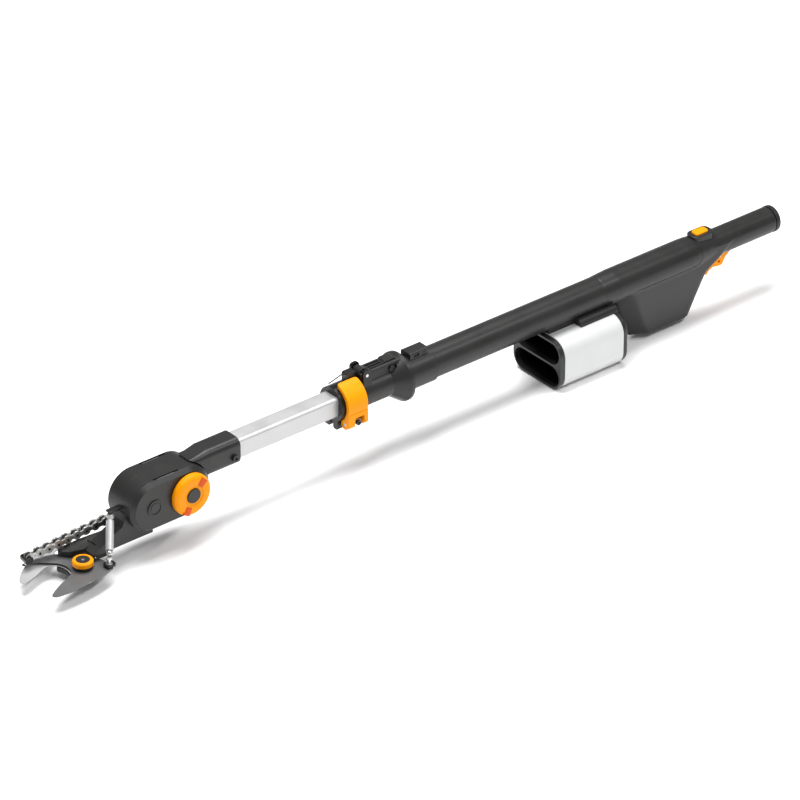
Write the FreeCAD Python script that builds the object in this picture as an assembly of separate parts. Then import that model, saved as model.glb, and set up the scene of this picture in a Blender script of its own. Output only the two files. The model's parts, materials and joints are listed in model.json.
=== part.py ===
import FreeCAD, Part
import math
import os

# Cordless telescoping pole pruner, in millimetres.
# Stations run along X from the pole socket's rear end: the head lies towards -X.
# -Y is the left side of the tool and +Z is up; the pole's axis is y = 0, z = 0.
# Every part is moved on export so that the origin is the middle of the box's base.

ORIGIN = (522.0, 0.0, -88.5)
TUBE_OD = 40.0
TUBE_ID = 34.0
POLE_SIZE = 26.0
POLE_WALL = 2.0
GRIP_OD = 34.0
CAP_R = 17.3
TILT_X = -84.0        # head tilt axis, along Y
TILT_Z = -18.0
SPROCKET_X = -134.0   # sprocket axis, along Y
SPROCKET_Z = -18.0
CASE_R = 32.5
CASE_Y0 = -27.0
CASE_Y1 = 22.0
NUT_X = -230.0        # blade pivot, along Z
NUT_Y = -14.5
BLADE_TOP = -66.0     # upper face of the moving blade
BLADE_T = 3.0
LINK_R = 5.4
CHAIN_PITCH = 12.7
CHAIN_LINKS = 9
CHAIN_FRONT = (-277.0, 30.5, -57.5)
CHAIN_REAR = (-168.0, 19.0, -41.5)
STRUT_TOP = (-180.0, -2.0, -24.0)
STRUT_LOW = (-206.0, -33.0, -60.0)
LATCH_Y = -18.5       # clamp lever hinge, along X
LATCH_Z = -22.5
LEVER_X = 192.5       # top lever hinge, along Y
LEVER_Z = 28.5
BUTTON_X = 729.0
TRIGGER_X = 752.0     # trigger hinge, along Y
TRIGGER_Z = -13.0
POSTS = ((622, -66), (684, -64), (660, -34))    # screw posts in the fin
BOX_FRONT = 468.0
BOX_REAR = 576.0
BOX_W = 90.0
BOX_TOP = -21.5
BOX_H = 67.0
BAY_GAP = 15.6        # bay centres above and below the middle of the box
BAY_R = 14.2
BAY_W = 41.0

os.makedirs("parts", exist_ok=True)
V = FreeCAD.Vector
XAX = V(1, 0, 0)
YAX = V(0, 1, 0)
ZAX = V(0, 0, 1)


def out(name, shapes):
    shape = shapes[0] if len(shapes) == 1 else Part.makeCompound(shapes)
    shape = shape.copy()
    shape.translate(V(-ORIGIN[0], -ORIGIN[1], -ORIGIN[2]))
    shape.exportStep("parts/" + name + ".step")


def box(x0, x1, y0, y1, z0, z1):
    return Part.makeBox(x1 - x0, y1 - y0, z1 - z0, V(x0, y0, z0))


def rod(p, d, r, length):
    return Part.makeCylinder(r, length, V(*p), V(*d))


def cone(p, d, r0, r1, length):
    return Part.makeCone(r0, r1, length, V(*p), V(*d))


def tube_x(x0, x1, ro, ri):
    return rod((x0, 0, 0), (1, 0, 0), ro, x1 - x0).cut(rod((x0 - 1, 0, 0), (1, 0, 0), ri, x1 - x0 + 2))


def poly(points, direction):
    wire = Part.makePolygon([V(*p) for p in points + [points[0]]])
    return Part.Face(wire).extrude(V(*direction))


def spline_plate(points, z0, z1, corners=()):
    """Flat plate whose outline runs smoothly between the corner points."""
    edges = []
    run = [V(points[0][0], points[0][1], z0)]
    for i, p in enumerate(points[1:] + [points[0]], 1):
        run.append(V(p[0], p[1], z0))
        if i % len(points) in corners or i == len(points):
            if len(run) == 2:
                edges.append(Part.LineSegment(run[0], run[1]).toShape())
            else:
                curve = Part.BSplineCurve()
                curve.interpolate(run)
                edges.append(curve.toShape())
            run = [run[-1]]
    return Part.Face(Part.Wire(edges)).extrude(V(0, 0, z1 - z0))


def rounded_box(x0, x1, y0, y1, z0, z1, r, axis):
    """Box with its four edges along one axis rounded."""
    shape = box(x0, x1, y0, y1, z0, z1)
    picked = []
    for edge in shape.Edges:
        d = edge.tangentAt(edge.FirstParameter)
        if abs(abs(d.dot(axis)) - 1) < 1e-6:
            picked.append(edge)
    return shape.makeFillet(r, picked)


def stadium(xa, xb, z, r, y0, y1):
    """Stadium prism along Y between two centres."""
    body = rod((xa, y0, z), (0, 1, 0), r, y1 - y0)
    body = body.fuse(rod((xb, y0, z), (0, 1, 0), r, y1 - y0))
    return body.fuse(box(xa, xb, y0, y1, z - r, z + r)).removeSplitter()


def stadium_x(x0, x1, yc, zc, half_w, r):
    """Flat-sided slot shape along X."""
    body = rod((x0, yc - half_w + r, zc), (1, 0, 0), r, x1 - x0)
    body = body.fuse(rod((x0, yc + half_w - r, zc), (1, 0, 0), r, x1 - x0))
    return body.fuse(box(x0, x1, yc - half_w + r, yc + half_w - r, zc - r, zc + r)).removeSplitter()


def fuse_all(shapes):
    result = shapes[0].fuse(shapes[1:]) if len(shapes) > 1 else shapes[0]
    return result.removeSplitter()


def axis_frame(p, q):
    """Unit vector from p to q and the distance."""
    d = V(*q).sub(V(*p))
    return d.normalize(), V(*q).distanceToPoint(V(*p))


def socket_screw(p, d, head_r, head_h, shank_r, shank_l):
    """Cap screw whose head's outer face is at p, with a hexagon socket."""
    dv = V(*d)
    head = rod(p, d, head_r, head_h)
    start = V(*p).add(dv * head_h)
    shank = rod((start.x, start.y, start.z), d, shank_r, shank_l)
    pts = []
    for k in range(6):
        a = math.radians(60 * k)
        pts.append((head_r * 0.5 * math.cos(a), head_r * 0.5 * math.sin(a), -0.5))
    socket = poly(pts, (0, 0, head_h * 0.6 + 0.5))
    socket.Placement = FreeCAD.Placement(V(*p), FreeCAD.Rotation(ZAX, dv))
    return head.fuse(shank).cut(socket).removeSplitter()


# ---------------------------------------------------------------- handle

def main_tube():
    body = tube_x(256, 604, TUBE_OD / 2, TUBE_ID / 2)
    out("main_tube", [body])


def front_collar():
    body = tube_x(258, 296, 22.2, TUBE_OD / 2)
    body = body.makeChamfer(0.8, [e for e in body.Edges if e.Length > 130 and e.BoundBox.XMin > 290])
    out("front_collar", [body])


def clamp_sleeve():
    """Round sleeve with the flared flange and the block along its top."""
    body = rod((186.5, 0, 0), (1, 0, 0), 18.5, 60)
    body = body.fuse(cone((230, 0, 0), (1, 0, 0), 18.5, 31.5, 18))
    body = body.fuse(rod((248, 0, 0), (1, 0, 0), 31.5, 4))
    block = rounded_box(186.5, 247, -10, 10, 8, 30, 3.0, XAX)
    body = body.fuse(block)
    body = body.cut(rounded_box(160, 256, -13.3, 13.3, -13.3, 13.3, 4.3, XAX))
    body = body.cut(box(160, 242, -6.4, 6.4, 23.5, 40))
    body = body.cut(rod((LEVER_X, -6.4, LEVER_Z), (0, 1, 0), 7.0, 12.8))
    body = body.cut(rod((LEVER_X, -20, LEVER_Z), (0, 1, 0), 2.0, 40))
    body = body.cut(rounded_box(200, 240, -12, -8.4, 16.5, 27.0, 1.6, YAX))
    out("clamp_sleeve", [body.removeSplitter()])


def side_panel():
    """Dark plate let into the near wall of the top block, with a screw boss."""
    body = rounded_box(200.3, 239.7, -9.6, -8.4, 16.8, 26.7, 1.5, YAX)
    boss = rod((233, -11.6, 22), (0, 1, 0), 4.4, 2.6)
    body = body.fuse(boss).cut(rod((233, -12, 22), (0, 1, 0), 3.0, 1.4))
    out("side_panel", [body.removeSplitter()])


def clamp_collar():
    """Split sleeve that grips the pole, with two ears under it."""
    body = rod((149, 0, 0), (1, 0, 0), 22.0, 37)
    near = rounded_box(149, 186, -11.5, -3.0, -31.5, -14, 2.5, XAX)
    far = rounded_box(149, 186, 3.0, 13.5, -31.5, -14, 2.5, XAX)
    body = body.fuse([near, far])
    body = body.cut(rounded_box(140, 190, -13.3, 13.3, -13.3, 13.3, 4.3, XAX))
    body = body.cut(box(140, 190, -1.5, 1.5, -40, -12))
    body = body.cut(rod((170.5, -20, LATCH_Z), (0, 1, 0), 1.6, 40))
    out("clamp_collar", [body.removeSplitter()])


def ring_sector(x0, x1, r0, r1, a0, a1):
    """Curved plate round the pole's axis between two angles, measured from +Y."""
    ring = rod((x0, 0, 0), (1, 0, 0), r1, x1 - x0).cut(rod((x0 - 1, 0, 0), (1, 0, 0), r0, x1 - x0 + 2))
    pts = [(x0 - 1, 0, 0)]
    for k in range(9):
        a = math.radians(a0 + (a1 - a0) * k / 8)
        pts.append((x0 - 1, 60 * math.cos(a), 60 * math.sin(a)))
    return ring.common(poly(pts, (x1 - x0 + 2, 0, 0)))


def clamp_band():
    """Orange quick lever that wraps the collar, hinged on a trunnion below."""
    body = ring_sector(154, 183, 22.6, 27.2, 98, 226)
    ends = [e for e in body.Edges if abs(e.Length - 4.6) < 0.05 and e.BoundBox.ZMin > 15]
    body = body.makeFillet(4.0, ends)
    hub = rod((154, LATCH_Y, LATCH_Z), (1, 0, 0), 6.3, 29)
    skirt = rounded_box(154, 183, -27.1, -20.0, -25.5, -6.0, 2.4, XAX)
    hub = hub.fuse(skirt).cut(rod((150, 0, 0), (1, 0, 0), 22.6, 40))
    body = body.fuse(hub)
    body = body.cut(rounded_box(163.5, 177.5, -40, 0, -40, -13.3, 2.5, YAX))
    body = body.cut(rod((150, LATCH_Y, LATCH_Z), (1, 0, 0), 2.55, 40))
    body = max(body.removeSplitter().Solids, key=lambda s: s.Volume)
    out("clamp_band", [body])
    pin = rod((154.5, LATCH_Y, LATCH_Z), (1, 0, 0), 2.5, 28)
    pin = pin.fuse(rod((164.5, LATCH_Y, LATCH_Z), (1, 0, 0), 4.2, 12))
    pin = pin.cut(rod((170.5, -40, LATCH_Z), (0, 1, 0), 1.55, 60))
    out("latch_pin", [pin.removeSplitter()])
    head_y = LATCH_Y - 4.6 - 2.6
    out("latch_screw", [socket_screw((170.5, head_y, LATCH_Z), (0, 1, 0), 3.4, 2.6, 1.5, 33)])


def lever():
    """Locking arm that lies in the top channel, hinged at its front end."""
    arm = rounded_box(LEVER_X, 239, -5.9, 5.9, 24.2, 31.0, 2.0, YAX)
    eye = rod((LEVER_X, -5.9, LEVER_Z), (0, 1, 0), 6.4, 11.8)
    tip = rounded_box(224, 241, -5.9, 5.9, 26.0, 33.4, 3.0, YAX)
    body = fuse_all([arm, eye, tip])
    body = body.cut(rod((LEVER_X, -10, LEVER_Z), (0, 1, 0), 2.05, 20))
    body = body.cut(box(202, 222, -3.9, -0.9, 29.0, 33))
    body = body.cut(box(202, 222, 0.9, 3.9, 29.0, 33))
    out("lever", [body.removeSplitter()])
    out("lever_pin", [rod((LEVER_X, -14.0, LEVER_Z), (0, 1, 0), 2.0, 28)])


def lever_base():
    """Two cheeks on the top block that carry the locking arm's pin."""
    parts = []
    for y0 in (-13.6, 10.0):
        cheek = rounded_box(187, 199.5, y0, y0 + 3.6, 12, 35.5, 4.5, YAX)
        cheek = cheek.cut(rod((LEVER_X, y0 - 1, LEVER_Z), (0, 1, 0), 2.0, 6))
        cheek = cheek.cut(rod((160, 0, 0), (1, 0, 0), 18.5, 60))
        parts.append(max(cheek.Solids, key=lambda s: s.Volume))
    out("lever_base", parts)


def wire_clip():
    """Black foot on the collar with the thin sprung wire that runs forward from it."""
    foot = rounded_box(171, 185.7, -2.6, 8, 18, 33, 2.5, YAX)
    foot = foot.cut(rod((150, 0, 0), (1, 0, 0), 22.05, 40))
    foot = foot.cut(rod((LEVER_X, -10, LEVER_Z), (0, 1, 0), 7.0, 20))
    points = [V(173, 2, 31.5), V(166, 2, 33.0), V(154, 1, 30.5), V(145, 0, 29.5)]
    wire = Part.makePolygon(points)
    circle = Part.Wire(Part.makeCircle(0.8, points[0], points[1].sub(points[0])))
    body = wire.makePipeShell([circle], True, False, 2)
    out("wire_clip", [body.fuse(foot).removeSplitter()])


def catch_block():
    body = rounded_box(262, 290, -9, 9, 18, 29, 2.5, XAX)
    body = body.cut(rod((250, 0, 0), (1, 0, 0), 22.2, 60))
    body = body.cut(rod((282, -12, 25.0), (0, 1, 0), 3.2, 4.5))
    body = body.cut(box(268, 276, -12, -7.4, 22.9, 26.5))
    out("catch_block", [body])
    screws = [socket_screw((282, -8.7, 25.0), (0, 1, 0), 2.8, 1.2, 1.2, 4.0)]
    screws.append(socket_screw((233, -11.5, 22), (0, 1, 0), 2.9, 1.2, 1.2, 1.7))
    out("clamp_screws", screws)


def fin_solid(inset):
    """Deep fin under the tube: boat-shaped from above, swept in side view."""
    w = 18.0 - inset
    half = [(780, w - 6), (735, w - 3), (690, w), (630, w), (606, w - 4), (591 + inset, 8 - inset * 0.5)]
    plan = [(586 + inset, 0)] + [(x, -y) for x, y in reversed(half)] + half
    hull = spline_plate(plan, -100, 0, (6, 7))
    side = [(578 + inset, 0), (588 + inset, -44), (598 + inset, -70), (607 + inset, -78 + inset),
            (618, -80 + inset), (702, -78 + inset), (711 - inset, -73 + inset), (733 - inset, -27),
            (742 - inset, -20), (761, -10), (775, 0)]
    profile = poly([(x, -60, z) for x, z in side], (0, 120, 0))
    return hull.common(profile)


def housing_solid(inset):
    """Tube, fin and grip as one outer solid, shrunk by inset."""
    r0 = TUBE_OD / 2 + 1.5 - inset
    r1 = GRIP_OD / 2 - inset
    body = cone((560, 0, 0), (1, 0, 0), r0 - 0.9, r0, 25)
    body = body.fuse(rod((585, 0, 0), (1, 0, 0), r0, 117))
    body = body.fuse(cone((702, 0, 0), (1, 0, 0), r0, r1, 50))
    body = body.fuse(rod((752, 0, 0), (1, 0, 0), r1, 91))
    return body.fuse(fin_solid(inset)).removeSplitter()


def housing():
    """Two moulded halves of the rear housing and grip."""
    outer = housing_solid(0)
    low_edges = []
    for e in outer.Edges:
        bb = e.BoundBox
        if bb.ZMax < -69 and bb.XLength > 20 and bb.YMax * bb.YMin > 0:
            low_edges.append(e)
    outer = outer.makeFillet(4.0, low_edges)
    inner = housing_solid(2.6)
    inner = inner.cut(rod((540, 0, 0), (1, 0, 0), 30, 46))
    shell = outer.cut(inner)
    shell = shell.cut(rod((555, 0, 0), (1, 0, 0), TUBE_OD / 2, 49.3))
    shell = shell.cut(box(729, 784.5, -7.4, 7.4, -60, -8))
    shell = shell.cut(rod((TRIGGER_X, -30, TRIGGER_Z), (0, 1, 0), 2.0, 60))
    opening = rounded_box(BUTTON_X - 13, BUTTON_X + 13, -8.2, 8.2, 10, 30, 4.0, ZAX)
    shell = shell.cut(opening)
    near = shell.common(box(550, 860, -40, -0.01, -120, 40))
    far = shell.common(box(550, 860, 0.01, 40, -120, 40))
    posts = []
    far_posts = []
    for x, z in POSTS:
        posts.append(rod((x, -16.6, z), (0, 1, 0), 3.6, 16.5))
        far_posts.append(rod((x, 0.1, z), (0, 1, 0), 3.6, 16.5))
    near = near.fuse([p.common(outer) for p in posts]).removeSplitter()
    far = far.fuse([p.common(outer) for p in far_posts])
    screws = []
    for x, z in POSTS:
        far = far.cut(rod((x, -1, z), (0, 1, 0), 1.5, 30))
        far = far.cut(rod((x, 15.2, z), (0, 1, 0), 3.1, 10))
        near = near.cut(rod((x, -12, z), (0, 1, 0), 1.5, 20))
        screws.append(socket_screw((x, 17.6, z), (0, -1, 0), 2.8, 2.2, 1.4, 24))
    out("housing_near", [near])
    out("housing_far", [far.removeSplitter()])
    out("housing_screws", screws)


def grip_cap():
    body = rod((843.2, 0, 0), (1, 0, 0), CAP_R, 6.8)
    edge = [e for e in body.Edges if e.Length > 100 and e.BoundBox.XMin > 849]
    body = body.makeFillet(2.5, edge)
    body = body.fuse(rod((836, 0, 0), (1, 0, 0), GRIP_OD / 2 - 2.6, 7.5))
    body = body.cut(rod((835, 0, 0), (1, 0, 0), GRIP_OD / 2 - 5, 12.0))
    body = body.cut(box(838.5, 841.5, -6, 6, 10, 20))
    out("grip_cap", [body.removeSplitter()])


def safety_button():
    surround = rounded_box(BUTTON_X - 16, BUTTON_X + 17, -10.5, 10.5, 12, 23.6, 8.0, ZAX)
    top = [e for e in surround.Edges if e.BoundBox.ZMin > 23.5]
    surround = surround.makeFillet(1.2, top)
    surround = surround.cut(housing_solid(0))
    surround = surround.cut(rounded_box(BUTTON_X - 10.4, BUTTON_X + 10.4, -6.6, 6.6, 0, 40, 4.2, ZAX))
    out("button_surround", [surround])
    button = rounded_box(BUTTON_X - 10, BUTTON_X + 10, -6.2, 6.2, 10.0, 26.0, 3.8, ZAX)
    top = [e for e in button.Edges if e.BoundBox.ZMin > 25.9]
    button = button.makeFillet(1.5, top)
    out("safety_button", [button])


def trigger():
    """Finger lever that hangs below the grip, hinged at its front end."""
    pts = [(746, -10), (781, -10), (781, -14), (774, -18), (767.5, -23), (764, -29), (762, -32), (755, -32),
           (747, -30.5), (741, -33.5), (736.5, -38), (733.5, -36), (737, -28), (743, -20)]
    body = poly([(x, -6, z) for x, z in pts], (0, 12, 0))
    corners = [e for e in body.Edges if e.BoundBox.ZMax < -17 and abs(e.BoundBox.YLength - 12) < 0.01]
    body = body.makeFillet(1.0, corners)
    body = body.cut(rod((TRIGGER_X, -10, TRIGGER_Z), (0, 1, 0), 2.05, 20))
    body = body.cut(rod((757, -10, -26.5), (0, 1, 0), 2.0, 20))
    out("trigger", [body.removeSplitter()])
    out("trigger_pin", [rod((TRIGGER_X, -13.0, TRIGGER_Z), (0, 1, 0), 2.0, 26)])


def switch_block():
    body = rounded_box(738, 766, -6.5, 6.5, -1.0, 6.4, 1.0, XAX)
    lever_plate = box(742, 762, -2, 2, -3.3, -1.0)
    out("switch_block", [body.fuse(lever_plate).removeSplitter()])


def control_board():
    out("control_board", [box(620, 676, -2.4, -0.8, -60, -42)])


def cable():
    """Lead that runs inside the tube and the pole."""
    out("cable", [rod((60, 0, 0), (1, 0, 0), 3.0, 540)])


# ---------------------------------------------------------------- battery box

def battery_box():
    zt = BOX_TOP
    zb = BOX_TOP - BOX_H
    hw = BOX_W / 2
    upper = (zt + zb) / 2 + BAY_GAP
    lower = (zt + zb) / 2 - BAY_GAP
    bezel = rounded_box(BOX_FRONT, BOX_FRONT + 7, -hw + 1, hw - 1, zb + 1, zt - 1, 20.0, XAX)
    for zc in (upper, lower):
        bezel = bezel.cut(stadium_x(BOX_FRONT - 1, BOX_FRONT + 9, 0, zc, BAY_W, BAY_R))
    out("box_bezel", [bezel])
    shell = rounded_box(BOX_FRONT + 7, BOX_REAR - 8, -hw, hw, zb, zt, 21.0, XAX)
    inner = rounded_box(BOX_FRONT, BOX_REAR, -hw + 2, hw - 2, zb + 2, zt - 2, 19.0, XAX)
    shell = shell.cut(inner)
    out("box_shell", [shell])
    liner = rounded_box(BOX_FRONT + 7, BOX_REAR - 8, -hw + 2, hw - 2, zb + 2, zt - 2, 19.0, XAX)
    for zc in (upper, lower):
        liner = liner.cut(stadium_x(BOX_FRONT + 5, BOX_REAR - 12, 0, zc, BAY_W, BAY_R))
    out("bay_liner", [liner])
    terminals = []
    for zc in (upper, lower):
        for y in (-14, -5, 5, 14):
            terminals.append(box(BOX_REAR - 24, BOX_REAR - 12, y - 0.6, y + 0.6, zc - 5, zc + 5))
    out("bay_terminals", terminals)
    cap = rounded_box(BOX_REAR - 8, BOX_REAR, -hw + 0.5, hw - 0.5, zb + 0.5, zt - 0.5, 20.5, XAX)
    edge = [e for e in cap.Edges if e.BoundBox.XMin > BOX_REAR - 0.1]
    cap = cap.makeFillet(3.0, edge)
    out("box_cap", [cap])


def saddle():
    """Carrier between the tube and the box, ending in a block over the box's rear."""
    body = box(BOX_FRONT + 8, 572, -13, 13, BOX_TOP, -10)
    wide = rounded_box(BOX_FRONT + 48, BOX_REAR - 1, -26, 26, BOX_TOP - 20, BOX_TOP + 9, 9.0, XAX)
    wide = wide.common(box(BOX_FRONT, BOX_REAR, -30, 30, BOX_TOP, 0))
    body = body.fuse(wide)
    body = body.cut(rod((400, 0, 0), (1, 0, 0), TUBE_OD / 2, 300))
    body = body.cut(rod((559.8, 0, 0), (1, 0, 0), TUBE_OD / 2 + 1.5, 60))
    out("box_saddle", [max(body.removeSplitter().Solids, key=lambda s: s.Volume)])


# ---------------------------------------------------------------- pole

def pole():
    h = POLE_SIZE / 2
    body = rounded_box(-38, 586, -h, h, -h, h, 4.0, XAX)
    bore = rounded_box(-39, 587, -h + 2, h - 2, -h + 2, h - 2, 2.5, XAX)
    body = body.cut(bore)
    out("pole", [body])
    plug = rod((586, 0, 0), (1, 0, 0), 16.6, 14)
    plug = plug.fuse(rounded_box(570, 587, -10.9, 10.9, -10.9, 10.9, 2.4, XAX))
    plug = plug.cut(rod((560, 0, 0), (1, 0, 0), 5.0, 60))
    out("pole_guide", [plug.removeSplitter()])


def pole_socket():
    """Neck with the tilt lug, and the sleeve that grips the pole."""
    front = round_wire(-84, -17.5, 13.5, -33, 13.5, 5.0)
    middle = round_wire(-62, -16.0, 13.5, -25, 14.5, 6.5)
    rear = round_wire(-45, -16.8, 16.8, -17, 17, 9.0)
    neck = Part.makeLoft([front, middle, rear], True, True)
    neck = neck.fuse(rounded_box(-45.5, 0, -16.8, 16.8, -17, 17, 9.0, XAX))
    neck = neck.cut(rod((TILT_X, -40, TILT_Z), (0, 1, 0), CASE_R + 1.6, 80))
    lug = rod((TILT_X, -9, TILT_Z), (0, 1, 0), 17, 18)
    lug = lug.fuse(box(TILT_X, -45, -9, 9, -30, -4))
    body = neck.fuse(lug)
    body = body.cut(rod((TILT_X, -20, TILT_Z), (0, 1, 0), 6.05, 40))
    h = POLE_SIZE / 2
    body = body.cut(rounded_box(-38, 1, -h, h, -h, h, 4.0, XAX))
    body = body.cut(rod((-9, -20, -5), (0, 1, 0), 2.5, 8))
    out("pole_socket", [body.removeSplitter()])
    out("socket_screw", [socket_screw((-9, -20.2, -5), (0, 1, 0), 4.4, 3.3, 2.5, 3.8)])


def round_wire(x, y0, y1, z0, z1, r):
    """Rounded rectangle across the pole's axis, as a closed wire."""
    k = r * (1 - math.sqrt(0.5))
    edges = []
    runs = [((y0 + r, z0), (y1 - r, z0)), ((y1, z0 + r), (y1, z1 - r)),
            ((y1 - r, z1), (y0 + r, z1)), ((y0, z1 - r), (y0, z0 + r))]
    mids = [(y1 - k, z0 + k), (y1 - k, z1 - k), (y0 + k, z1 - k), (y0 + k, z0 + k)]
    for n in range(4):
        p, q = runs[n]
        nxt = runs[(n + 1) % 4][0]
        edges.append(Part.makeLine(V(x, *p), V(x, *q)))
        edges.append(Part.Arc(V(x, *q), V(x, *mids[n]), V(x, *nxt)).toShape())
    return Part.Wire(edges)


# ---------------------------------------------------------------- head

def case():
    """Drive case: two halves, hollow, open at the rear for the tilt lug."""
    core = stadium(SPROCKET_X, TILT_X, TILT_Z, CASE_R, CASE_Y0 + 6, CASE_Y1 - 4)
    near = stadium(SPROCKET_X, TILT_X, TILT_Z, CASE_R, CASE_Y0, CASE_Y0 + 6)
    rim = [e for e in near.Edges if abs(e.BoundBox.YMin - CASE_Y0) < 0.01 and e.BoundBox.YLength < 0.01]
    near = near.makeChamfer(5.0, rim)
    far = stadium(SPROCKET_X, TILT_X, TILT_Z, CASE_R, CASE_Y1 - 4, CASE_Y1)
    rim = [e for e in far.Edges if abs(e.BoundBox.YMax - CASE_Y1) < 0.01 and e.BoundBox.YLength < 0.01]
    far = far.makeFillet(3.0, rim)
    cav = stadium(SPROCKET_X, TILT_X, TILT_Z, CASE_R - 3, CASE_Y0 + 3, CASE_Y1 - 3)
    body = fuse_all([core, near, far]).cut(cav)
    slot = box(TILT_X, TILT_X + 60, -10, 10, -70, TILT_Z + 16)
    slot = slot.cut(rod((TILT_X, -11, TILT_Z), (0, 1, 0), 17.3, 22))
    body = body.cut(slot)
    body = body.cut(box(-190, -148.4, 3.6, 30.0, -50.0, -32.6))
    body = body.cut(box(-152.6, -126.4, 0.3, 19.8, -49.8, -32.4))
    body = body.cut(rod((TILT_X, -40, TILT_Z), (0, 1, 0), 6.05, 80))
    body = body.cut(rod((SPROCKET_X, CASE_Y0 + 1, SPROCKET_Z), (0, 1, 0), 4.05, 47))
    for y, x0 in ((-22.0, -131.0), (16.0, -122.0)):
        body = body.cut(box(x0, x0 + 36, y, y + 3.2, 12.4, 16))
        body = body.cut(box(x0, x0 + 36, y, y + 2.0, 11.6, 16))
    near = body.common(box(-220, -40, -60, -0.01, -80, 40))
    far = body.common(box(-220, -40, 0.01, 60, -80, 40))
    out("case_near", [max(near.Solids, key=lambda s: s.Volume)])
    out("case_far", [max(far.Solids, key=lambda s: s.Volume)])
    strips = []
    for y, x0 in ((-21.7, -125.0), (16.3, -118.0)):
        strips.append(box(x0, x0 + 24, y, y + 1.6, 11.7, 13.6))
    out("case_strips", strips)


def boss_cap():
    ring = rod((SPROCKET_X, CASE_Y0 - 1.3, SPROCKET_Z - 1), (0, 1, 0), 10.4, 1.3)
    ring = ring.cut(rod((SPROCKET_X, CASE_Y0 - 2, SPROCKET_Z - 1), (0, 1, 0), 8.2, 1.5))
    ring = ring.fuse(rod((SPROCKET_X, CASE_Y0 - 1.0, SPROCKET_Z - 1), (0, 1, 0), 6.4, 1.0)).removeSplitter()
    out("boss_cap", [ring])


def drive_motor():
    """Flat gearmotor beside the sprocket."""
    body = rod((SPROCKET_X, -23.5, SPROCKET_Z), (0, 1, 0), 21, 14)
    body = body.fuse(rod((SPROCKET_X, -9.5, SPROCKET_Z), (0, 1, 0), 13, 6))
    body = body.cut(rod((SPROCKET_X, -30, SPROCKET_Z), (0, 1, 0), 4.05, 40))
    out("drive_motor", [body.removeSplitter()])


def sprocket():
    teeth = 6
    body = rod((SPROCKET_X, 6.5, SPROCKET_Z), (0, 1, 0), 8.2, 5)
    for k in range(teeth):
        a = math.radians(360 / teeth * k)
        tip = rod((SPROCKET_X + 9.5 * math.cos(a), 6.5, SPROCKET_Z + 9.5 * math.sin(a)), (0, 1, 0), 3.0, 5)
        body = body.fuse(tip)
    body = body.fuse(rod((SPROCKET_X, -22, SPROCKET_Z), (0, 1, 0), 4.0, 42.5))
    out("sprocket", [body.removeSplitter()])


def arm():
    """Beam from the case to the blades, with a rail along its far edge."""
    beam = poly([(-128, -14, -51), (-128, -14, -18), (-165, -14, -18), (-169, -14, -31), (-173, -14, -38),
                 (-184, -14, -42), (-204, -14, -53), (-214, -14, -57.5), (-215, -14, -60.5), (-128, -14, -60.5)],
                (0, 19.5, 0))
    rail = poly([(-163, 0, -48), (-214, 0, -55.5), (-236, 0, -59.5), (-240, 0, -64.8), (-212, 0, -64.8),
                 (-212, 0, -60.5), (-163, 0, -60.5)], (0, 40, 0))
    plan = [(-163, 2), (-163, 10.6), (-185, 15.0), (-205, 20.5), (-225, 24.5), (-236, 26), (-239, 21),
            (-229, 9), (-217, 2)]
    rail = rail.common(poly([(x, y, -70) for x, y in plan], (0, 0, 40)))
    web = box(-195, -181, 3, 15.5, -79.5, -59)
    floor = box(-226, -181, 8.5, 15.5, -79.5, -73.3)
    tongue = spline_plate([(-205, 10), (-222, 18), (-238, 19), (-247, 13), (-244.5, 5), (-245, -4), (-247, -13),
                           (-241, -25), (-230, -28), (-218, -23), (-212, -6)], -79.5, -73.3)
    body = beam.fuse([rail, web, floor, tongue])
    body = body.cut(stadium(SPROCKET_X, TILT_X, TILT_Z, CASE_R, CASE_Y0, CASE_Y1))
    body = body.cut(box(-204.4, -203.0, -4, 12, -56.5, -40))
    body = body.cut(rod((NUT_X, NUT_Y, -90), (0, 0, 1), 4.0, 40))
    body = body.cut(rod((NUT_X, NUT_Y, BLADE_TOP), (0, 0, 1), 14.0, 20))
    out("arm", [max(body.removeSplitter().Solids, key=lambda s: s.Volume)])


def fixed_blade():
    """Lower anvil plate: broad behind, drawn out to a blunt forward tip."""
    pts = [(-216, -22), (-210.5, 2), (-210, 18), (-211.5, 34), (-217, 45), (-229, 49.5), (-246, 47.5),
           (-262, 42), (-277, 34), (-291, 24), (-300.5, 13), (-302, 8), (-299, 4.5), (-281, 9.5), (-264, 16), (-255, 16.5),
           (-248.5, 13), (-245, 6), (-244.2, -3), (-245.5, -13), (-241, -25), (-229, -28)]
    plate = spline_plate(pts, -73.0, -69.5, (10, 12))
    plate = plate.cut(rod((NUT_X, NUT_Y, -90), (0, 0, 1), 4.0, 40))
    plate = plate.cut(rod((-228, 31.0, -90), (0, 0, 1), 6.8, 40))
    out("fixed_blade", [plate])


def pivot_bolt():
    bolt = rod((NUT_X, NUT_Y, -83.5), (0, 0, 1), 8.0, 4.0)
    bolt = bolt.fuse(rod((NUT_X, NUT_Y, -80), (0, 0, 1), 4.0, 19.5))
    bolt = bolt.fuse(rod((NUT_X, NUT_Y, -61), (0, 0, 1), 1.9, 4.4))
    out("pivot_bolt", [bolt.removeSplitter()])


def strut_bracket():
    """Lug on the case's nose with a pin for the return strut's upper eye."""
    x, y, z = STRUT_TOP
    lug = rounded_box(x - 3.6, -158, y - 3.6, y + 3.6, z + 5.9, z + 8.7, 1.2, YAX)
    lug = lug.cut(stadium(SPROCKET_X, TILT_X, TILT_Z, CASE_R, CASE_Y0, CASE_Y1))
    body = lug.fuse(rod((x, y, z - 6.5), (0, 0, 1), 1.6, 14)).removeSplitter()
    out("strut_bracket", [max(body.Solids, key=lambda s: s.Volume)])


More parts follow.
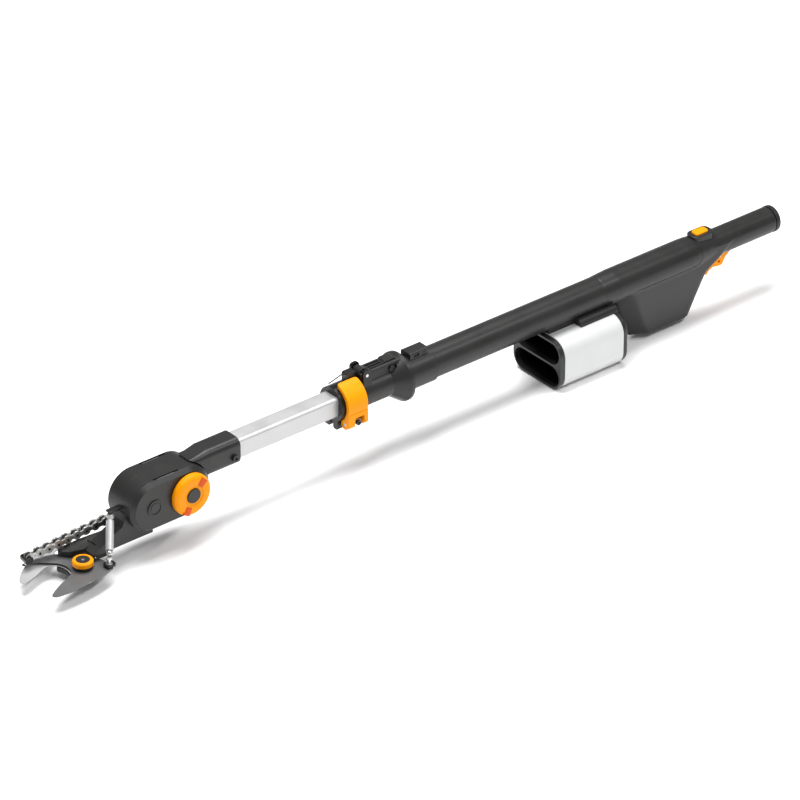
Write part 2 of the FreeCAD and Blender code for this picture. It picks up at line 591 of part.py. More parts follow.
def knob():
    """Tilt lock knob on the left side."""
    y = -27.3
    body = rod((TILT_X, y - 9, TILT_Z), (0, 1, 0), 26.5, 9)
    front = [e for e in body.Edges if e.Length > 100 and e.BoundBox.YMax < y - 8]
    body = body.makeFillet(3.0, front)
    body = body.cut(rod((TILT_X, y - 10, TILT_Z), (0, 1, 0), 9.4, 30))
    inserts = []
    for a, r in ((47, 11.2), (242, 13.8)):
        slot = box(r, r + 10, -12, -9 + 1.2, -3.8, 3.8)
        pad = box(r + 0.3, r + 9.7, -9 + 0.4, -9 + 1.2, -3.5, 3.5)
        for piece in (slot, pad):
            piece.rotate(V(0, 0, 0), YAX, -a)
            piece.translate(V(TILT_X, y, TILT_Z))
        body = body.cut(slot)
        inserts.append(pad)
    out("knob", [body])
    out("knob_inserts", inserts)
    hub = rod((TILT_X, y - 9.6, TILT_Z), (0, 1, 0), 9.1, 9.4)
    out("knob_hub", [hub.fuse(rod((TILT_X, y - 0.3, TILT_Z), (0, 1, 0), 6.0, 53.3)).removeSplitter()])
    nut = rod((TILT_X, CASE_Y1 + 0.3, TILT_Z), (0, 1, 0), 11, 4.0)
    out("tilt_nut", [nut.cut(rod((TILT_X, 20, TILT_Z), (0, 1, 0), 6.0, 20)).removeSplitter()])


# ---------------------------------------------------------------- blade

def blade():
    """Crescent blade with two prongs, turning on the pivot nut."""
    pts = [(-281, 34.5), (-272, 35), (-262, 34.5), (-252, 33), (-240.5, 29), (-230.5, 22), (-222, 12), (-208, -7),
           (-204, -13.5), (-202.8, -24), (-203, -36), (-208, -40), (-219, -43.5), (-231.5, -45.5),
           (-249.5, -47.5), (-266.5, -48), (-282.5, -47.5), (-291, -45.8), (-293.5, -40.5), (-284, -33.7),
           (-271.5, -27.3), (-256, -21), (-247.5, -16), (-243.8, -8), (-243.7, 0), (-246, 7.5),
           (-251.5, 14.6), (-259, 21.4), (-269, 29), (-281, 29.5)]
    plate = spline_plate(pts, BLADE_TOP - BLADE_T, BLADE_TOP, (17, 18, 29))
    plate = plate.cut(rod((NUT_X, NUT_Y, -90), (0, 0, 1), 4.05, 40))
    out("hook_blade", [plate])
    ring = rod((NUT_X, NUT_Y, BLADE_TOP + 3.6), (0, 0, 1), 12.6, 6.0)
    rim = [e for e in ring.Edges if e.Length > 60 and e.BoundBox.ZMin > BLADE_TOP + 9]
    ring = ring.makeFillet(2.2, rim)
    ring = ring.cut(rod((NUT_X, NUT_Y, BLADE_TOP), (0, 0, 1), 8.4, 20))
    out("pivot_nut", [ring])
    core = rod((NUT_X, NUT_Y, BLADE_TOP), (0, 0, 1), 11.8, 3.6)
    core = core.fuse(rod((NUT_X, NUT_Y, BLADE_TOP + 3), (0, 0, 1), 8.4, 6.4))
    core = core.cut(rod((NUT_X, NUT_Y, BLADE_TOP - 1), (0, 0, 1), 4.05, 6.8))
    core = core.cut(rod((NUT_X, NUT_Y, BLADE_TOP - 1), (0, 0, 1), 1.95, 20))
    out("nut_core", [core.removeSplitter()])
    x, y, z = STRUT_LOW
    block = rounded_box(x - 6, x + 7, y - 5, y + 5, BLADE_TOP, BLADE_TOP + 3.2, 2.5, ZAX)
    out("corner_block", [block.common(box(x - 9, x + 9, y - 9, y + 9, -80, 0))])
    stud = rod((x, y, BLADE_TOP + 3.2), (0, 0, 1), 1.9, 6.0)
    stud = stud.fuse(rod((x, y, BLADE_TOP + 3.2), (0, 0, 1), 4.2, 0.7))
    stud = stud.fuse(rod((x, y, BLADE_TOP + 9.2), (0, 0, 1), 3.6, 1.4))
    out("corner_stud", [stud.removeSplitter()])
    cx, cy, cz = CHAIN_FRONT
    out("chain_stud", [rod((cx, cy, BLADE_TOP), (0, 0, 1), 3.2, 1.6)])


def chain():
    """Straight run of link chain from the blade's prong to the case."""
    d, length = axis_frame(CHAIN_FRONT, CHAIN_REAR)
    turn = FreeCAD.Rotation(XAX, d)
    plates = []
    rollers = []
    for k in range(CHAIN_LINKS + 1):
        x = k * CHAIN_PITCH + 3.0
        if k < CHAIN_LINKS:
            inner = k % 2 == 0
            for side in (-1, 1):
                y = side * (2.6 if inner else 3.9)
                link = rod((x, y - 0.6, 0), (0, 1, 0), LINK_R, 1.2)
                link = link.fuse(rod((x + CHAIN_PITCH, y - 0.6, 0), (0, 1, 0), LINK_R, 1.2))
                link = link.fuse(box(x, x + CHAIN_PITCH, y - 0.6, y + 0.6, -3.2, 3.2))
                link = link.cut(rod((x, y - 2, 0), (0, 1, 0), 1.6, 4))
                link = link.cut(rod((x + CHAIN_PITCH, y - 2, 0), (0, 1, 0), 1.6, 4))
                plates.append(link.removeSplitter())
        roller = rod((x, -1.9, 0), (0, 1, 0), 3.9, 3.8).cut(rod((x, -5, 0), (0, 1, 0), 1.6, 10))
        pin = rod((x, -5.0, 0), (0, 1, 0), 1.6, 10.0)
        rollers.append(roller.fuse(pin).removeSplitter())
    for s in plates + rollers:
        s.Placement = FreeCAD.Placement(V(*CHAIN_FRONT), turn).multiply(s.Placement)
    out("chain_plates", plates)
    out("chain_rollers", rollers)
    end = rounded_box(-5.2, 5.0, -6.6, 6.6, -5.2, 2.6, 2.4, YAX)
    end = end.cut(box(-2.9, 20, -5.4, 5.4, -10, 10))
    end.Placement = FreeCAD.Placement(V(*CHAIN_FRONT), turn)
    out("chain_end", [end])


def strut():
    """Return strut: a spring in a tube with a sliding rod."""
    d, length = axis_frame(STRUT_TOP, STRUT_LOW)
    turn = FreeCAD.Rotation(XAX, d)
    tube = rod((5.5, 0, 0), (1, 0, 0), 4.7, 35.5).cut(rod((9.5, 0, 0), (1, 0, 0), 2.9, 50))
    place = FreeCAD.Placement(V(*STRUT_TOP), turn)
    tube.Placement = place.multiply(tube.Placement)
    x, y, z = STRUT_TOP
    eye = Part.makeSphere(4.8, V(x, y, z))
    neck = rod((3.4, 0, 0), (1, 0, 0), 3.0, 3.6)
    neck.Placement = place.multiply(neck.Placement)
    top = tube.fuse([eye, neck]).cut(rod((x, y, z - 20), (0, 0, 1), 2.7, 40))
    out("strut_tube", [max(top.removeSplitter().Solids, key=lambda s: s.Volume)])
    shaft = rod((18, 0, 0), (1, 0, 0), 2.6, length - 18 - 6.0)
    shaft.Placement = place.multiply(shaft.Placement)
    knuckle = Part.makeSphere(4.0, V(length - 9.8, 0, 0))
    knuckle.Placement = place.multiply(knuckle.Placement)
    x, y, z = STRUT_LOW
    ring = rod((x, y, z - 1.3), (0, 0, 1), 6.6, 2.6)
    body = shaft.fuse([ring, knuckle])
    body = body.cut(rod((x, y, z - 20), (0, 0, 1), 4.2, 22.6))
    body = body.cut(rod((x, y, z + 0.9), (0, 0, 1), 5.6, 5.2))
    out("strut_rod", [max(body.removeSplitter().Solids, key=lambda s: s.Volume)])


main_tube()
front_collar()
clamp_sleeve()
side_panel()
clamp_collar()
clamp_band()
lever()
lever_base()
wire_clip()
catch_block()
housing()
grip_cap()
safety_button()
trigger()
switch_block()
control_board()
cable()
battery_box()
saddle()
pole()
pole_socket()
case()
boss_cap()
drive_motor()
sprocket()
arm()
fixed_blade()
pivot_bolt()
strut_bracket()
knob()
blade()
chain()
strut()
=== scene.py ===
import json
import math

import bmesh
import bpy
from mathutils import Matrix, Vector
from mathutils.bvhtree import BVHTree


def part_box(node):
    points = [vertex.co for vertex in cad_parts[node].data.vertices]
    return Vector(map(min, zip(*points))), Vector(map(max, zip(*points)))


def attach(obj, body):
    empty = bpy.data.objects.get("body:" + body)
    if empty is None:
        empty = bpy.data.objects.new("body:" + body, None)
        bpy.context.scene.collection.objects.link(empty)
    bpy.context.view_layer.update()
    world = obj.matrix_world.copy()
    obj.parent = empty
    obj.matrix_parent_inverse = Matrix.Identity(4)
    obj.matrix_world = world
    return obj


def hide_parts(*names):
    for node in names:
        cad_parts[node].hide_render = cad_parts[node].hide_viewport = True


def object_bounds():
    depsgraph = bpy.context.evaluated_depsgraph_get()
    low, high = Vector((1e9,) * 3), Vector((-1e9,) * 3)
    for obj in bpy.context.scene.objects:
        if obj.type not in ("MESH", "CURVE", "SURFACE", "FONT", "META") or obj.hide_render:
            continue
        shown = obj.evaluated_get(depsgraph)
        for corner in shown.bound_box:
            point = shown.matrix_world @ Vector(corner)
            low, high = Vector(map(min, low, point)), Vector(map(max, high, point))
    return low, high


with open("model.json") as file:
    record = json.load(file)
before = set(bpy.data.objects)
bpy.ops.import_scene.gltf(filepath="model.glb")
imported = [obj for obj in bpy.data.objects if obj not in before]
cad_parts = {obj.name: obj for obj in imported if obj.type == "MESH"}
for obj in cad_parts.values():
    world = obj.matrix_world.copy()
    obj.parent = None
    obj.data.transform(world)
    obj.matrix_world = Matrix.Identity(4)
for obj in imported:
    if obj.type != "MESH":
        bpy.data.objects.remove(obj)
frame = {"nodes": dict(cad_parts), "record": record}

cad_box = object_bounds()
MM = 0.001

# Local stations as in the CAD: s runs back from the pole socket's rear end, z = 0 is the pole's axis.
S0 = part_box("pole_socket")[1].x
Z0 = (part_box("pole")[0].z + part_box("pole")[1].z) / 2


def P(s, y, z):
    """Point in metres from stations in millimetres."""
    return Vector((S0 + s * MM, y * MM, Z0 + z * MM))


# ------------------------------------------------------------------ camera and lights

CAM_AZ, CAM_EL = -39.3, 31.3
CAM_DIST = 7.6
CAM_LENS = 287.0
CAM_AIM = P(253.7, 0, -35)


def aim(obj, target):
    """Turns a camera or a light towards a point."""
    obj.rotation_mode = "QUATERNION"
    obj.rotation_quaternion = (target - obj.location).to_track_quat("-Z", "Y")


cam_data = bpy.data.cameras.new("camera")
cam_data.lens = CAM_LENS
cam_data.sensor_width = 36.0
cam_data.clip_end = 60.0
cam = bpy.data.objects.new("camera", cam_data)
bpy.context.scene.collection.objects.link(cam)
a, e = math.radians(CAM_AZ), math.radians(CAM_EL)
view_from = Vector((math.sin(a) * math.cos(e), -math.cos(a) * math.cos(e), math.sin(e)))
cam.location = CAM_AIM + view_from * CAM_DIST
aim(cam, CAM_AIM)
bpy.context.scene.camera = cam


def soft_light(name, at, target, size, power, size_y):
    """Rectangular area light, in metres and watts."""
    data = bpy.data.lights.new(name, "AREA")
    data.energy = power
    data.shape = "RECTANGLE"
    data.size = size
    data.size_y = size_y
    obj = bpy.data.objects.new(name, data)
    bpy.context.scene.collection.objects.link(obj)
    obj.location = at
    aim(obj, target)


CENTRE = Vector((-0.25, 0.0, 0.1))
soft_light("top", Vector((-0.3, 0.3, 2.4)), CENTRE, 2.6, 92.0, 1.0)
soft_light("near_strip", Vector((0.2, -1.4, 2.1)), CENTRE, 2.6, 30.0, 0.16)

world = bpy.data.worlds.new("studio")
world.use_nodes = True
world.node_tree.nodes["Background"].inputs["Color"].default_value = (1.0, 1.0, 1.0, 1.0)
world.node_tree.nodes["Background"].inputs["Strength"].default_value = 0.3
bpy.context.scene.world = world
bpy.context.scene.view_settings.view_transform = "Standard"


# ------------------------------------------------------------------ materials

def link(tree, a, b):
    tree.links.new(a, b)


def node(tree, kind, **settings):
    n = tree.nodes.new(kind)
    for key, value in settings.items():
        if key.startswith("in_"):
            n.inputs[key[3:]].default_value = value
        else:
            setattr(n, key, value)
    return n


def map_range(tree, source, a, b, lo, hi):
    n = node(tree, "ShaderNodeMapRange")
    for k, v in enumerate((a, b, lo, hi)):
        n.inputs[1 + k].default_value = v
    link(tree, source, n.inputs[0])
    return n.outputs[0]


def finish_material(name, color, rough, metallic=0.0, grain=900.0, bump=0.1, stretch=(1, 1, 1),
                    rough_var=0.08, tint=0.12, wear=None, wear_amount=0.5, edge=0.0005, coat=0.0,
                    specular=0.5, cell=False):
    """Procedural finish: grain bump, slow colour and roughness changes, and paler or darker worn edges."""
    m = bpy.data.materials.new(name)
    m.use_nodes = True
    t = m.node_tree
    bsdf = t.nodes["Principled BSDF"]
    bsdf.inputs["Metallic"].default_value = metallic
    bsdf.inputs["Coat Weight"].default_value = coat
    bsdf.inputs["Coat Roughness"].default_value = 0.12
    bsdf.inputs["Specular IOR Level"].default_value = specular
    coords = node(t, "ShaderNodeTexCoord")
    mapping = node(t, "ShaderNodeMapping")
    mapping.inputs["Scale"].default_value = stretch
    link(t, coords.outputs["Object"], mapping.inputs["Vector"])
    if cell:
        fine = node(t, "ShaderNodeTexVoronoi", in_Scale=grain)
        fine_out = fine.outputs["Distance"]
    else:
        fine = node(t, "ShaderNodeTexNoise", in_Scale=grain, in_Detail=3.0)
        fine_out = fine.outputs["Fac"]
    link(t, mapping.outputs["Vector"], fine.inputs["Vector"])
    slow = node(t, "ShaderNodeTexNoise", in_Scale=28.0, in_Detail=4.0, in_Roughness=0.6)
    link(t, coords.outputs["Object"], slow.inputs["Vector"])
    base = node(t, "ShaderNodeMix", data_type="RGBA")
    base.inputs[6].default_value = (*[c * (1 - tint) for c in color], 1)
    base.inputs[7].default_value = (*[min(1.0, c * (1 + tint)) for c in color], 1)
    link(t, map_range(t, slow.outputs["Fac"], 0.3, 0.7, 0.0, 1.0), base.inputs[0])
    bevel = node(t, "ShaderNodeBevel", samples=4)
    bevel.inputs["Radius"].default_value = edge
    out = base.outputs[2]
    if wear is not None:
        geo = node(t, "ShaderNodeNewGeometry")
        dot = node(t, "ShaderNodeVectorMath", operation="DOT_PRODUCT")
        link(t, bevel.outputs["Normal"], dot.inputs[0])
        link(t, geo.outputs["Normal"], dot.inputs[1])
        mask = map_range(t, dot.outputs["Value"], 0.995, 0.86, 0.0, 1.0)
        patch = node(t, "ShaderNodeTexNoise", in_Scale=210.0, in_Detail=3.0)
        link(t, coords.outputs["Object"], patch.inputs["Vector"])
        rubbed = map_range(t, patch.outputs["Fac"], 0.35, 0.62, 0.15 * wear_amount, wear_amount)
        amount = node(t, "ShaderNodeMath", operation="MULTIPLY")
        link(t, mask, amount.inputs[0])
        link(t, rubbed, amount.inputs[1])
        worn = node(t, "ShaderNodeMix", data_type="RGBA")
        worn.inputs[7].default_value = (*wear, 1)
        link(t, amount.outputs[0], worn.inputs[0])
        link(t, out, worn.inputs[6])
        out = worn.outputs[2]
    link(t, out, bsdf.inputs["Base Color"])
    mixed = node(t, "ShaderNodeMath", operation="MULTIPLY_ADD")
    mixed.inputs[1].default_value = 0.35
    link(t, fine_out, mixed.inputs[0])
    link(t, slow.outputs["Fac"], mixed.inputs[2])
    link(t, map_range(t, mixed.outputs[0], 0.4, 0.95, max(0.03, rough - rough_var), rough + rough_var),
         bsdf.inputs["Roughness"])
    bumps = node(t, "ShaderNodeBump", in_Strength=bump, in_Distance=0.0002)
    link(t, fine_out, bumps.inputs["Height"])
    link(t, bevel.outputs["Normal"], bumps.inputs["Normal"])
    link(t, bumps.outputs["Normal"], bsdf.inputs["Normal"])
    return m


GREY_WEAR = (0.16, 0.16, 0.16)
STEEL_WEAR = (0.75, 0.75, 0.75)
FINISHES = {
    "dark_plastic": dict(color=(0.017, 0.017, 0.0166), rough=0.36, grain=1500, bump=0.14, wear=GREY_WEAR,
                         wear_amount=0.3, rough_var=0.05, specular=0.34),
    "black_plastic": dict(color=(0.006, 0.006, 0.006), rough=0.3, grain=1200, bump=0.1, wear=GREY_WEAR,
                          wear_amount=0.25, specular=0.3),
    "orange_plastic": dict(color=(0.86, 0.29, 0.001), rough=0.4, grain=900, bump=0.06, tint=0.05,
                           wear=(0.95, 0.38, 0.02), wear_amount=0.5, specular=0.12),
    "red_plastic": dict(color=(0.62, 0.075, 0.0), rough=0.45, grain=900, bump=0.08, tint=0.08,
                        wear=(0.8, 0.15, 0.01), specular=0.2),
    "shell_silver": dict(color=(0.56, 0.565, 0.565), rough=0.36, grain=1800, bump=0.08, tint=0.03,
                         rough_var=0.05, coat=0.3, wear=(0.85, 0.85, 0.85), wear_amount=0.3),
    "pole_alu": dict(color=(0.5, 0.5, 0.505), rough=0.42, metallic=0.55, grain=1300, bump=0.06,
                     stretch=(0.03, 1, 1), tint=0.04, rough_var=0.07, wear=(0.9, 0.9, 0.9), edge=0.001),
    "blade_grey": dict(color=(0.15, 0.15, 0.15), rough=0.45, metallic=0.6, grain=1100, bump=0.12,
                       stretch=(1, 0.12, 1), tint=0.1, wear=STEEL_WEAR, wear_amount=0.8, edge=0.0006),
    "steel": dict(color=(0.6, 0.6, 0.6), rough=0.3, metallic=1.0, grain=1500, bump=0.1,
                  stretch=(0.1, 1, 1), tint=0.05, rough_var=0.08, wear=(0.9, 0.9, 0.9)),
    "anvil_steel": dict(color=(0.42, 0.42, 0.42), rough=0.45, metallic=0.35, grain=1200, bump=0.1,
                        stretch=(1, 0.12, 1), tint=0.06, wear=STEEL_WEAR),
    "chain_steel": dict(color=(0.66, 0.66, 0.64), rough=0.32, metallic=1.0, grain=1300, bump=0.12,
                        tint=0.14, rough_var=0.12, wear=(0.9, 0.9, 0.88)),
    # black_steel also colours blade_moving's ground edge faces, where its darkness is painted shade for the
    # blade's edge in shadow
    "black_steel": dict(color=(0.018, 0.018, 0.019), rough=0.33, metallic=0.4, grain=1400, bump=0.12,
                        wear=(0.3, 0.3, 0.3), wear_amount=0.5),
    "strip_grey": dict(color=(0.13, 0.13, 0.13), rough=0.35, grain=900, bump=0.06, wear=(0.3, 0.3, 0.3)),
    "brass": dict(color=(0.78, 0.53, 0.2), rough=0.34, metallic=1.0, grain=1200, bump=0.1),
    "board_green": dict(color=(0.03, 0.16, 0.07), rough=0.4, grain=700, bump=0.2, cell=True),
    "lead_rubber": dict(color=(0.02, 0.02, 0.02), rough=0.6, grain=900, bump=0.2),
}
M = {name: finish_material(name, **settings) for name, settings in FINISHES.items()}

SLOT_OF = {row["node"]: row["material_slot"] for row in frame["record"]["subparts"]}
for name, obj in frame["nodes"].items():
    if not obj.material_slots:
        obj.data.materials.append(M[SLOT_OF[name]])
    for mat_slot in obj.material_slots:
        mat_slot.material = M[SLOT_OF[name]]


# ------------------------------------------------------------------ stage

FLOOR_HALF = 14.0
FLOOR_DROP = 0.0005


def pale_floor():
    """Plain pale floor just under the tool."""
    m = bpy.data.materials.new("pale_floor")
    m.use_nodes = True
    t = m.node_tree
    bsdf = t.nodes["Principled BSDF"]
    bsdf.inputs["Base Color"].default_value = (0.97, 0.97, 0.97, 1)
    bsdf.inputs["Roughness"].default_value = 0.9
    bsdf.inputs["Specular IOR Level"].default_value = 0.1
    bm = bmesh.new()
    bmesh.ops.create_grid(bm, x_segments=2, y_segments=2, size=FLOOR_HALF)
    me = bpy.data.meshes.new("floor")
    bm.to_mesh(me)
    bm.free()
    me.materials.append(m)
    obj = bpy.data.objects.new("floor", me)
    bpy.context.scene.collection.objects.link(obj)
    obj.location.z = cad_box[0].z - FLOOR_DROP


pale_floor()


# ------------------------------------------------------------------ piece helpers

def scene_mesh(name, bm):
    """Turns a bmesh into an object of the scene, with its normals outward."""
    bmesh.ops.recalc_face_normals(bm, faces=bm.faces)
    me = bpy.data.meshes.new(name)
    bm.to_mesh(me)
    bm.free()
    obj = bpy.data.objects.new(name, me)
    bpy.context.scene.collection.objects.link(obj)
    return obj


def new_piece(name, bm, body, slot, node_name, material=None, smooth=math.radians(32)):
    """Piece with shade-smooth faces that rides on a body and stands in for a node."""
    obj = scene_mesh(name, bm)
    obj.data.shade_smooth()
    obj.data.set_sharp_from_angle(angle=smooth)
    obj.data.materials.append(M[material or slot])
    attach(obj, body)
    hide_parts(node_name)
    return obj


def skin(bm, rings, closed=False):
    """Joins rings of equal length with quads; closed joins the last to the first, else caps both."""
    loops = [[bm.verts.new(p) for p in ring] for ring in rings]
    count = len(loops[0])
    pairs = list(zip(loops, loops[1:]))
    if closed:
        pairs.append((loops[-1], loops[0]))
    for lower, upper in pairs:
        for k in range(count):
            n = (k + 1) % count
            bm.faces.new((lower[k], lower[n], upper[n], upper[k]))
    if not closed:
        bm.faces.new(loops[0][::-1])
        bm.faces.new(loops[-1])


def lathe(bm, centre, axis, profile, steps=64, hollow=False):
    """Revolves (along, radius) pairs in millimetres about an axis; hollow leaves the middle open."""
    axis = Vector(axis).normalized()
    u = axis.orthogonal().normalized()
    v = axis.cross(u)
    rings = []
    for along, radius in profile:
        ring = []
        for k in range(steps):
            t = math.tau * k / steps
            ring.append(centre + axis * along * MM + (u * math.cos(t) + v * math.sin(t)) * radius * MM)
        rings.append(ring)
    skin(bm, rings, closed=hollow)


def smooth_line(points, per, closed=True):
    """Dense points on a Catmull-Rom line through control points, per points to each span."""
    out = []
    n = len(points)
    spans = n if closed else n - 1
    for i in range(spans):
        quad = []
        for j in (-1, 0, 1, 2):
            k = (i + j) % n if closed else min(max(i + j, 0), n - 1)
            quad.append(points[k])
        p0, p1, p2, p3 = quad
        for s in range(per):
            t = s / per
            out.append(tuple(0.5 * (2 * b + (c - a) * t + (2 * a - 5 * b + 4 * c - d) * t * t
                                    + (3 * b - a - 3 * c + d) * t ** 3)
                             for a, b, c, d in zip(p0, p1, p2, p3)))
    return out


def tube_line(name, points, radius, body, slot):
    """Round wire along world points, as a curve with real thickness."""
    cu = bpy.data.curves.new(name, "CURVE")
    cu.dimensions = "3D"
    cu.bevel_depth = radius * MM
    cu.bevel_resolution = 3
    cu.use_fill_caps = True
    sp = cu.splines.new("POLY")
    sp.points.add(len(points) - 1)
    for q, p in zip(sp.points, points):
        q.co = (*p, 1)
    cu.materials.append(M[slot])
    obj = bpy.data.objects.new(name, cu)
    bpy.context.scene.collection.objects.link(obj)
    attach(obj, body)


def baked(obj):
    """Replaces obj's mesh by its evaluated one and drops the modifiers."""
    deps = bpy.context.evaluated_depsgraph_get()
    me = bpy.data.meshes.new_from_object(obj.evaluated_get(deps))
    obj.modifiers.clear()
    obj.data = me


def cut_away(obj, tools):
    """Subtracts closed tool objects from obj and removes the tools."""
    for tool in tools:
        cut = obj.modifiers.new(tool.name, "BOOLEAN")
        cut.operation = "DIFFERENCE"
        cut.object = tool
        cut.solver = "EXACT"
    baked(obj)
    for tool in tools:
        bpy.data.objects.remove(tool)


# ------------------------------------------------------------------ rear housing

TUBE_R, GRIP_R = 21.5, 17.0
HOUSING_PROFILE = [(560.2, 20.15), (566, 20.4), (585, TUBE_R), (700, TUBE_R), (710, TUBE_R - 0.3),
                   (722, TUBE_R - 1.6), (738, GRIP_R + 1.2), (750, GRIP_R + 0.2), (765, GRIP_R),
                   (842.6, GRIP_R), (843.0, GRIP_R - 0.4)]
FIN_FRONT = [(0, 578), (-21, 589), (-40, 596), (-60, 604), (-80.5, 614)]
FIN_REAR = [(0, 775), (-12, 759), (-20, 744), (-27, 734.5), (-50, 723), (-74, 711), (-80.5, 708)]
FIN_LEVELS = (-80.5, -79.9, -78, -70, -60, -50, -40, -30, -24, -18, -12, -6, 0, 5)
FIN_HALF = 17.6
FIN_NOSE, FIN_STERN = 24.0, 14.0
HOUSING_VOXEL = 1.25 * MM
SMOOTH_PASSES = 6
SEAM = [(612, -8), (640, -8.5), (680, -8.5), (704, -8), (713, -5), (717, 1), (717.5, 8), (716, 14)]
SEAM_R = 0.32
TRIGGER_SLOT = ((729, -7.2, -60), (784.5, 7.2, 3))
BUTTON_SLOT = ((716, -8, 6), (742, 8, 40))


def along(table, z):
    """Station of a fin edge at height z, from (z, s) rows that go down."""
    for (z0, x0), (z1, x1) in zip(table, table[1:]):
        if z >= z1:
            return x0 + (x1 - x0) * (z0 - z) / (z0 - z1)
    return table[-1][1]


def fin_ring(z):
    """Boat-shaped outline of the fin at height z: a pointed nose, flat sides and a rounded stern."""
    x0, x1 = along(FIN_FRONT, z), along(FIN_REAR, z)
    half = FIN_HALF - 3.0 * max(0.0, -z - 20) / 60
    nose, stern = FIN_NOSE, min(FIN_STERN, (x1 - x0) * 0.3)
    side = [(x0, 1.2), (x0 + 1.2, 2.8), (x0 + nose * 0.5, half * 0.56),
            (x0 + nose * 0.92, half * 0.97), (x0 + nose, half)]
    for k in range(1, 9):
        side.append((x0 + nose + (x1 - stern - x0 - nose) * k / 9, half))
    for k in range(5):
        t = math.radians(90 * k / 4)
        side.append((x1 - stern + stern * math.sin(t), half * math.cos(t) * 0.9 + half * 0.1 * (1 - k / 4)))
    side[-1] = (x1, 0.6)
    return [P(x, y, z) for x, y in side] + [P(x, -y, z) for x, y in reversed(side)]


def housing_blank():
    """Tube, fin and grip run together into one smooth skin."""
    bm = bmesh.new()
    lathe(bm, P(0, 0, 0), (1, 0, 0), HOUSING_PROFILE, 96)
    skin(bm, [fin_ring(z) for z in FIN_LEVELS])
    obj = scene_mesh("rear_housing", bm)
    remesh = obj.modifiers.new("remesh", "REMESH")
    remesh.mode = "VOXEL"
    remesh.voxel_size = HOUSING_VOXEL
    soft = obj.modifiers.new("soft", "SMOOTH")
    soft.iterations = SMOOTH_PASSES
    soft.factor = 0.5
    baked(obj)
    return obj


def box_tool(name, corners):
    """Closed box between two corners, to cut with."""
    lo, hi = corners
    bm = bmesh.new()
    skin(bm, [[P(x, y, z) for x, y in ((lo[0], lo[1]), (hi[0], lo[1]), (hi[0], hi[1]), (lo[0], hi[1]))]
              for z in (lo[2], hi[2])])
    return scene_mesh(name, bm)


def surface_line(tree, stations, side):
    """Points on the housing's side wall at (s, z) stations, found by a ray from outside."""
    out = []
    for s, z in stations:
        hit = tree.ray_cast(P(s, side * 60, z), Vector((0, -side, 0)))[0]
        if hit is not None:
            out.append(hit)
    return out


def rear_housing():
    obj = housing_blank()
    tree = BVHTree.FromObject(obj, bpy.context.evaluated_depsgraph_get())
    seam = smooth_line(SEAM, 10, closed=False)
    for side, word in ((-1, "near"), (1, "far")):
        tube_line("housing_seam_" + word, surface_line(tree, seam, side), SEAM_R, "handle", "black_plastic")
    cut_away(obj, [box_tool("trigger_slot", TRIGGER_SLOT), box_tool("button_slot", BUTTON_SLOT)])
    obj.data.name = "rear_housing"
    obj.data.materials.clear()
    obj.data.materials.append(M["dark_plastic"])
    obj.data.shade_smooth()
    obj.data.set_sharp_from_angle(angle=math.radians(50))
    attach(obj, "handle")
    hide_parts("housing_near", "housing_far")


rear_housing()


# ------------------------------------------------------------------ blades

GRIND_DEPTH = 0.36     # share of the thickness taken off at the rim of each face
FLAT_COSINE = 0.985    # faces flatter than this are blade face, the rest is ground edge
NUT = (-230, -14.5)

def ground_plate(name, outline, z_top, thick, grind, body, slot, face_material, edge_material, node_name,
                 holes):
    """Flat blade whose outline is ground to a bevel of the given width on both faces."""
    bm = bmesh.new()
    base = [bm.verts.new(P(x, y, z_top)) for x, y in outline]
    face = bm.faces.new(base)
    bmesh.ops.recalc_face_normals(bm, faces=[face])
    if face.normal.z < 0:
        bmesh.ops.reverse_faces(bm, faces=[face])
    rim = set(bm.verts)
    bmesh.ops.inset_region(bm, faces=[face], thickness=grind * MM, use_even_offset=True)
    for v in rim:
        v.co.z -= thick * GRIND_DEPTH * MM
    copy = bmesh.ops.duplicate(bm, geom=list(bm.faces) + list(bm.edges) + list(bm.verts))["geom"]
    mid = P(0, 0, z_top - thick / 2).z
    for v in [g for g in copy if isinstance(g, bmesh.types.BMVert)]:
        v.co.z = 2 * mid - v.co.z
    bmesh.ops.reverse_faces(bm, faces=[g for g in copy if isinstance(g, bmesh.types.BMFace)])
    bmesh.ops.bridge_loops(bm, edges=[e for e in bm.edges if e.is_boundary])
    obj = new_piece(name, bm, body, slot, node_name, material=face_material, smooth=math.radians(18))
    # faces off the flat take edge_material; on blade_moving that is black_steel, painted shade on the
    # ground edge
    obj.data.materials.append(M[edge_material])
    for f in obj.data.polygons:
        f.material_index = 0 if abs(f.normal.z) > FLAT_COSINE else 1
    for x, y, r in holes:
        hole = bmesh.new()
        lathe(hole, P(x, y, z_top - thick - 3), (0, 0, 1), [(0, r), (thick + 6, r)], 48)
        cut_away(obj, [scene_mesh("drill", hole)])


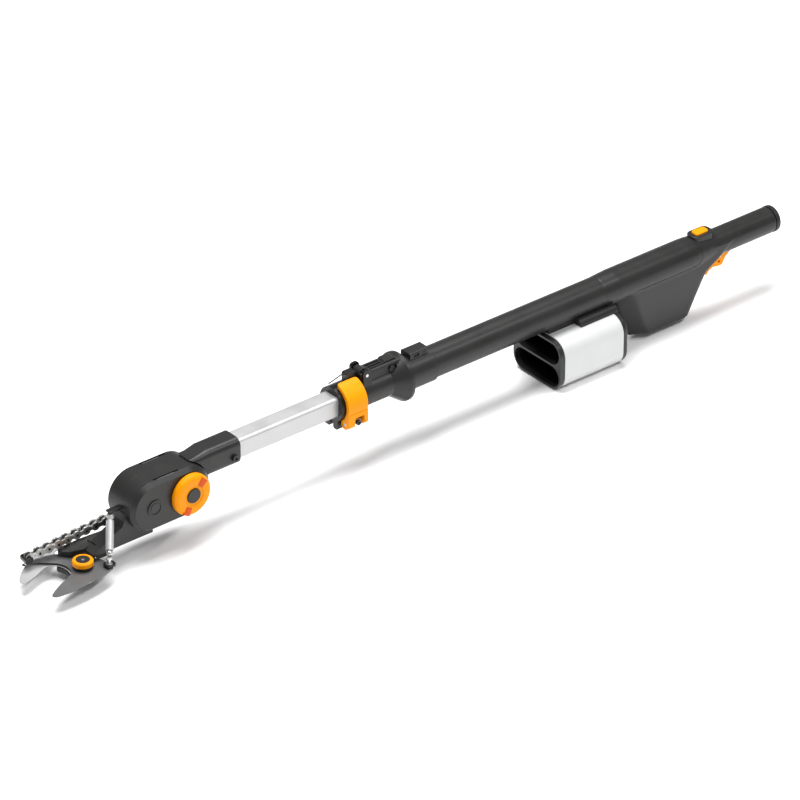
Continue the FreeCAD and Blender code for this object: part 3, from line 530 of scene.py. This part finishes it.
HOOK = [(-281, 34.5), (-272, 35), (-262, 34.5), (-252, 33), (-240.5, 29), (-230.5, 22), (-222, 12),
        (-208, -7), (-204, -13.5), (-202.8, -24), (-203, -36), (-208, -40), (-219, -43.5), (-231.5, -45.5),
        (-249.5, -47.5), (-266.5, -48), (-282.5, -47.5), (-291, -45.8), (-293.5, -40.5), (-284, -33.7),
        (-271.5, -27.3), (-256, -21), (-247.5, -16), (-243.8, -8), (-243.7, 0), (-246, 7.5),
        (-251.5, 14.6), (-259, 21.4), (-269, 29), (-280, 30.2)]
ANVIL = [(-216, -22), (-210.5, 2), (-210, 18), (-211.5, 34), (-217, 45), (-229, 49.5), (-246, 47.5),
         (-262, 42), (-277, 34), (-291, 24), (-300, 14), (-301.6, 8), (-298, 5), (-281, 9.5), (-264, 16),
         (-255, 16.5), (-248.5, 13), (-245, 6), (-244.2, -3), (-245.5, -13), (-241, -25), (-229, -28)]
# blade_moving's ground rim and side faces take black_steel, darker than its blade_grey face: painted shade
# for the blade's edge in shadow, where bare ground steel would be paler
ground_plate("blade_moving", smooth_line(HOOK, 5), -66.0, 3.0, 1.0, "blade", "blade_grey", "blade_grey",
             "black_steel", "hook_blade", [(*NUT, 4.05)])
ground_plate("blade_fixed", smooth_line(ANVIL, 5), -69.5, 3.5, 1.5, "head", "steel", "anvil_steel",
             "anvil_steel", "fixed_blade", [(*NUT, 4.0), (-228, 31.0, 6.8)])


# ------------------------------------------------------------------ tilt knob

KNOB_BACK = P(-84, -27.3, -18)
KNOB_PROFILE = [(0, 9.4), (0, 25.4), (0.5, 26.2), (4.6, 26.5), (6.0, 26.1), (7.6, 24.6), (8.8, 22.9),
                (9.0, 22.3), (9.0, 14.2), (8.8, 13.7), (8.1, 13.1), (8.0, 12.6), (8.0, 9.4)]
PADS = ((47, 13.0, 23.6), (242, 14.6, 25.4))             # angle, inner and outer radius
PAD_LAYERS = ((8.3, 0.0), (9.2, 0.0), (9.45, 0.5))       # depth from the knob's back, shrink
PAD_INNER, PAD_OUTER = 4.4, 5.4                          # half widths


def tilt_knob():
    """Dished knob with two raised pads."""
    bm = bmesh.new()
    lathe(bm, KNOB_BACK, (0, -1, 0), KNOB_PROFILE, 96, hollow=True)
    new_piece("knob_disc", bm, "tilt_knob", "orange_plastic", "knob")
    bm = bmesh.new()
    for angle, r0, r1 in PADS:
        t = math.radians(angle)
        out_dir = Vector((math.cos(t), 0, math.sin(t)))
        across = Vector((-math.sin(t), 0, math.cos(t)))
        rings = []
        for depth, shrink in PAD_LAYERS:
            ring = []
            for u, v in ((r0 + shrink, -PAD_INNER + shrink), (r1 - shrink, -PAD_OUTER + shrink),
                         (r1 - shrink, PAD_OUTER - shrink), (r0 + shrink, PAD_INNER - shrink)):
                ring.append(KNOB_BACK + (out_dir * u + across * v) * MM + Vector((0, -depth * MM, 0)))
            rings.append(ring)
        skin(bm, rings)
    new_piece("knob_pads", bm, "tilt_knob", "red_plastic", "knob_inserts")


tilt_knob()
